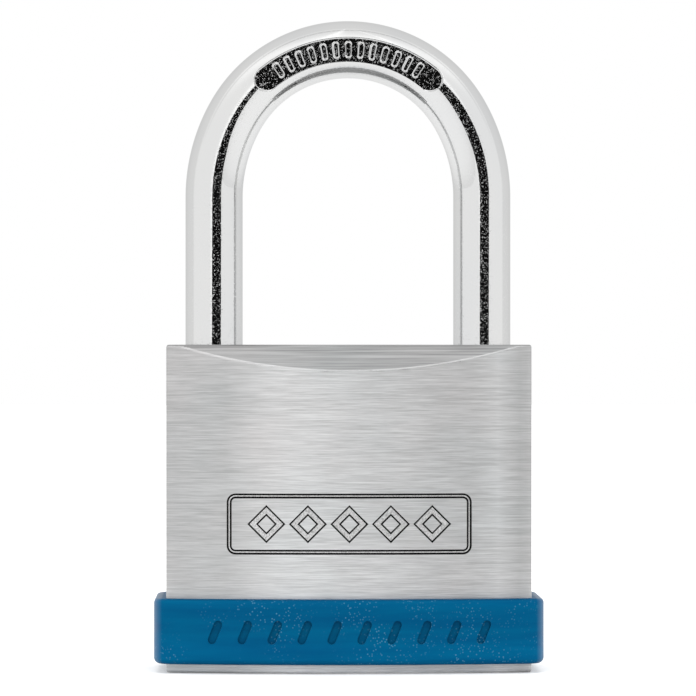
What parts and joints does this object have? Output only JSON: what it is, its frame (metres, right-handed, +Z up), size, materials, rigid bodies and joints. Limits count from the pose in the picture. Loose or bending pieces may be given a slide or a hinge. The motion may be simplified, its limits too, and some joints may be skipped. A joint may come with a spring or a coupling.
{
  "type": "padlock",
  "caption": "Key padlock with a bent round steel shackle, a brushed metal block body and a blue rubber bumper round its base; locks a hasp, chain or gate.",
  "frame": {"origin": "middle of the body's flat bottom face", "axes": "+Z up through the shackle's bow, the engraved face looks to -Y, +X towards the shackle's short leg"},
  "size_m": [0.0538, 0.026, 0.0904],
  "materials": {
    "body_metal": "fine horizontal brushing, satin silver",
    "band": "moulded blue rubber, satin",
    "shackle_metal": "polished chrome plate",
    "pin_steel": "turned steel",
    "spring_steel": "drawn wire",
    "bolt_steel": "hardened steel, ground",
    "cam_metal": "sintered steel",
    "plug_brass": "turned brass",
    "pin_brass": "turned brass",
    "ring_metal": "pressed steel",
    "closing_plug": "pressed in and ground flush with the side"
  },
  "bodies": {
    "body": {"lock_body": "body_metal", "protective_band": "band", "shackle_retaining_pin": "pin_steel", "plug_retaining_ring": "ring_metal", "cross_bore_plug": "closing_plug", "chamber_plug_1": "closing_plug", "chamber_plug_2": "closing_plug", "chamber_plug_3": "closing_plug", "chamber_plug_4": "closing_plug", "chamber_plug_5": "closing_plug", "pin_spring_1": "spring_steel", "pin_spring_2": "spring_steel", "pin_spring_3": "spring_steel", "pin_spring_4": "spring_steel", "pin_spring_5": "spring_steel", "heel_spring": "spring_steel"},
    "shackle": {"shackle": "shackle_metal", "heel_spring_cap": "pin_steel"},
    "plug": {"cylinder_plug": "plug_brass", "locking_cam": "cam_metal"},
    "bolt_heel": {"locking_bolt_heel": "bolt_steel"},
    "bolt_toe": {"locking_bolt_toe": "bolt_steel"},
    "key_pin_1": {"key_pin_1": "pin_brass"},
    "driver_1": {"driver_pin_1": "pin_brass"},
    "key_pin_2": {"key_pin_2": "pin_brass"},
    "driver_2": {"driver_pin_2": "pin_brass"},
    "key_pin_3": {"key_pin_3": "pin_brass"},
    "driver_3": {"driver_pin_3": "pin_brass"},
    "key_pin_4": {"key_pin_4": "pin_brass"},
    "driver_4": {"driver_pin_4": "pin_brass"},
    "key_pin_5": {"key_pin_5": "pin_brass"},
    "driver_5": {"driver_pin_5": "pin_brass"}
  },
  "joints": [
    {"name": "shackle_lift", "type": "slide", "parent": "body", "child": "shackle", "axis": [0, 0, 1], "range_m": [0, 0.0135], "deforming": ["heel_spring"]},
    {"name": "plug_turn", "type": "hinge", "parent": "body", "child": "plug", "pos_m": [0, 0, 0.0011], "axis": [0, 0, 1], "range_deg": [-90, 0]},
    {"name": "bolt_heel_slide", "type": "slide", "parent": "body", "child": "bolt_heel", "axis": [-1, 0, 0], "range_m": [0, 0.002]},
    {"name": "bolt_toe_slide", "type": "slide", "parent": "body", "child": "bolt_toe", "axis": [1, 0, 0], "range_m": [0, 0.002]},
    {"name": "key_pin_1_slide", "type": "slide", "parent": "plug", "child": "key_pin_1", "axis": [0, 1, 0], "range_m": [-0.0012, 0]},
    {"name": "driver_pin_1_slide", "type": "slide", "parent": "body", "child": "driver_1", "axis": [1, 0, 0], "range_m": [0, 0.0012], "stiffness_N_per_m": 60, "springref_m": -0.002, "deforming": ["pin_spring_1"]},
    {"name": "key_pin_2_slide", "type": "slide", "parent": "plug", "child": "key_pin_2", "axis": [0, 1, 0], "range_m": [-0.0012, 0]},
    {"name": "driver_pin_2_slide", "type": "slide", "parent": "body", "child": "driver_2", "axis": [1, 0, 0], "range_m": [0, 0.0012], "stiffness_N_per_m": 60, "springref_m": -0.002, "deforming": ["pin_spring_2"]},
    {"name": "key_pin_3_slide", "type": "slide", "parent": "plug", "child": "key_pin_3", "axis": [0, 1, 0], "range_m": [-0.0012, 0]},
    {"name": "driver_pin_3_slide", "type": "slide", "parent": "body", "child": "driver_3", "axis": [1, 0, 0], "range_m": [0, 0.0012], "stiffness_N_per_m": 60, "springref_m": -0.002, "deforming": ["pin_spring_3"]},
    {"name": "key_pin_4_slide", "type": "slide", "parent": "plug", "child": "key_pin_4", "axis": [0, 1, 0], "range_m": [-0.0012, 0]},
    {"name": "driver_pin_4_slide", "type": "slide", "parent": "body", "child": "driver_4", "axis": [1, 0, 0], "range_m": [0, 0.0012], "stiffness_N_per_m": 60, "springref_m": -0.002, "deforming": ["pin_spring_4"]},
    {"name": "key_pin_5_slide", "type": "slide", "parent": "plug", "child": "key_pin_5", "axis": [0, 1, 0], "range_m": [-0.0012, 0]},
    {"name": "driver_pin_5_slide", "type": "slide", "parent": "body", "child": "driver_5", "axis": [1, 0, 0], "range_m": [0, 0.0012], "stiffness_N_per_m": 60, "springref_m": -0.002, "deforming": ["pin_spring_5"]}
  ],
  "couplings": [
    {"joint": "bolt_heel_slide", "follows": "plug_turn", "m_per_rad": -0.0012732},
    {"joint": "bolt_toe_slide", "follows": "plug_turn", "m_per_rad": -0.0012732}
  ]
}
